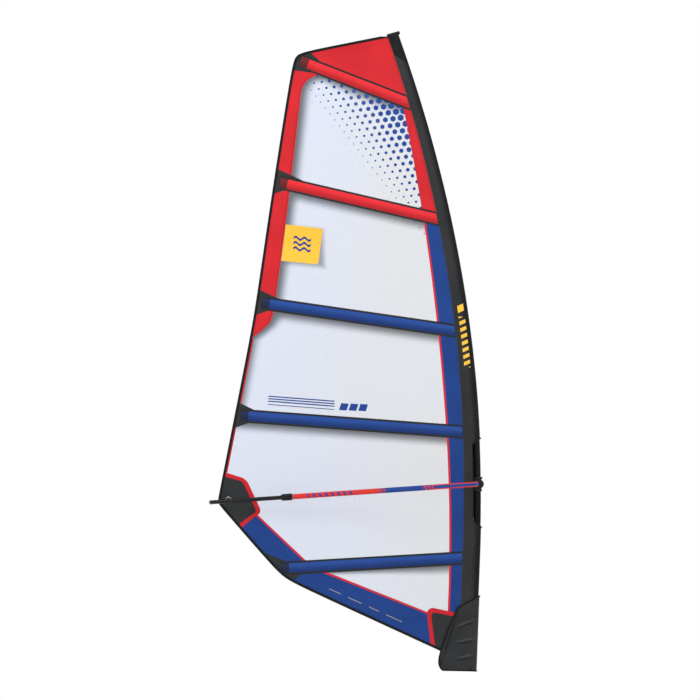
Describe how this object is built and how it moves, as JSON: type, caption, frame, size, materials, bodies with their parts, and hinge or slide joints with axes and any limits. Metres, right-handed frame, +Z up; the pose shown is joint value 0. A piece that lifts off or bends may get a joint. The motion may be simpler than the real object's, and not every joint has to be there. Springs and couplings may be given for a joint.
{
  "type": "windsurf sail rig",
  "caption": "Upright windsurf rig: bent two-piece mast, battened window sail in a sleeve, wishbone boom clamped at the cut-out and a padded mast-foot cover.",
  "frame": {"origin": "mouth of the base socket, on the axis of the straight lower mast", "axes": "+Z up the lower mast, +X forward (the mast's leading side), the sail lies towards -X, +Y is the side that the sail bellies to"},
  "size_m": [1.881, 0.5054, 4.3739],
  "materials": {
    "moulded_black": "moulded nylon, satin",
    "button_red": "moulded red plastic",
    "alloy": "brushed and anodised",
    "carbon_mast": "composite tube under clear lacquer, counted as plastic",
    "sleeve_cloth": "woven polyester, dark grey",
    "red_cloth": "laminated sailcloth, red",
    "blue_cloth": "laminated sailcloth, blue",
    "binding_tape": "woven edge tape",
    "window_film": "clear polyester film",
    "badge_cloth": "yellow printed patch",
    "padding": "foam-backed neoprene",
    "batten_rod": "pultruded glass-fibre rod",
    "arm_alloy": "drawn alloy tube",
    "grip": "printed foam grip, red towards the tail and blue towards the mast",
    "tail_black": "black anodised alloy tube"
  },
  "bodies": {
    "mast_foot": {"base_housing": "moulded_black", "base_sheave_axle": "alloy", "extension_tube": "alloy", "extension_collar": "moulded_black", "collar_pin": "alloy"},
    "base_button": {"base_release_button": "button_red"},
    "base_sheave_set": {"base_sheaves": "alloy"},
    "rig": {"mast_bottom": "carbon_mast", "mast_top": "carbon_mast", "mast_ferrule": "carbon_mast", "mast_tip_plug": "moulded_black", "sleeve_upper": "sleeve_cloth", "sleeve_bridge": "sleeve_cloth", "sleeve_lower": "sleeve_cloth", "tip_protector": "padding", "head_panel": "red_cloth", "window_1": "window_film", "window_2": "window_film", "window_3": "window_film", "window_4": "window_film", "window_5": "window_film", "leech_panel": "red_cloth", "luff_panel_red": "red_cloth", "luff_panel_blue": "blue_cloth", "foot_panel": "blue_cloth", "sail_binding": "binding_tape", "clew_patch": "sleeve_cloth", "tack_patch": "sleeve_cloth", "sail_badge": "badge_cloth", "clew_ring": "alloy", "leech_reinforcements": "sleeve_cloth", "batten_tensioners": "moulded_black", "tack_block": "alloy", "tack_fairing": "padding", "batten_1": "batten_rod", "batten_pocket_1": "red_cloth", "batten_2": "batten_rod", "batten_pocket_2": "red_cloth", "batten_3": "batten_rod", "batten_pocket_3": "blue_cloth", "batten_4": "batten_rod", "batten_pocket_4": "blue_cloth", "batten_5": "batten_rod", "batten_pocket_5": "blue_cloth"},
    "tack_sheave_set": {"tack_sheaves": "moulded_black"},
    "boom_clamp": {"mast_clamp": "moulded_black", "clamp_strap": "moulded_black"},
    "lever": {"clamp_lever": "button_red"},
    "boom": {"boom_head": "moulded_black", "boom_arm_left": "arm_alloy", "boom_arm_right": "arm_alloy", "boom_grip_left": "grip", "boom_grip_right": "grip"},
    "lock_left": {"lock_collar_left": "moulded_black"},
    "lock_right": {"lock_collar_right": "moulded_black"},
    "boom_tail": {"tail_tube": "tail_black", "tail_end": "moulded_black"},
    "tail_sheave_l": {"tail_sheave_left": "alloy"},
    "tail_sheave_r": {"tail_sheave_right": "alloy"}
  },
  "joints": [
    {"name": "base_release_push", "type": "slide", "parent": "mast_foot", "child": "base_button", "axis": [0, 1, 0], "range_m": [0, 0.004], "stiffness_N_per_m": 900, "springref_m": -0.002},
    {"name": "base_sheaves_spin", "type": "hinge", "parent": "mast_foot", "child": "base_sheave_set", "pos_m": [-0.05, 0, 0.034], "axis": [0, 1, 0], "continuous": true},
    {"name": "rig_lift", "type": "slide", "parent": "mast_foot", "child": "rig", "axis": [0, 0, 1], "range_m": [0, 0.2]},
    {"name": "tack_sheaves_spin", "type": "hinge", "parent": "rig", "child": "tack_sheave_set", "pos_m": [-0.066, 0, 0.16], "axis": [0, 1, 0], "continuous": true},
    {"name": "boom_height", "type": "slide", "parent": "rig", "child": "boom_clamp", "axis": [-0.0482, 0, 0.9988], "range_m": [-0.11, 0.11]},
    {"name": "boom_pitch", "type": "hinge", "parent": "boom_clamp", "child": "boom", "pos_m": [-0.01139, 0, 1.286], "axis": [0, 1, 0], "range_deg": [-3.6, 3.6]},
    {"name": "clamp_lever_swing", "type": "hinge", "parent": "boom_clamp", "child": "lever", "pos_m": [0.0175, 0.018, 1.33045], "axis": [0.0482, 0, -0.9988], "range_deg": [0, 100]},
    {"name": "tail_extend", "type": "slide", "parent": "boom", "child": "boom_tail", "axis": [-0.9943, 0, -0.1063], "range_m": [0, 0.15]},
    {"name": "lock_left_twist", "type": "hinge", "parent": "boom", "child": "lock_left", "pos_m": [-1.31397, 0.082, 1.14679], "axis": [0.9943, 0, 0.1063], "range_deg": [0, 90]},
    {"name": "lock_right_twist", "type": "hinge", "parent": "boom", "child": "lock_right", "pos_m": [-1.31397, -0.082, 1.14679], "axis": [0.9943, 0, 0.1063], "range_deg": [0, 90]},
    {"name": "tail_sheave_left_spin", "type": "hinge", "parent": "boom_tail", "child": "tail_sheave_l", "pos_m": [-1.80716, 0.015, 1.09409], "axis": [-0.1063, 0, 0.9943], "continuous": true},
    {"name": "tail_sheave_right_spin", "type": "hinge", "parent": "boom_tail", "child": "tail_sheave_r", "pos_m": [-1.80716, -0.015, 1.09409], "axis": [-0.1063, 0, 0.9943], "continuous": true}
  ],
  "couplings": [
    {"joint": "boom_pitch", "follows": "boom_height", "rad_per_m": -0.565}
  ]
}
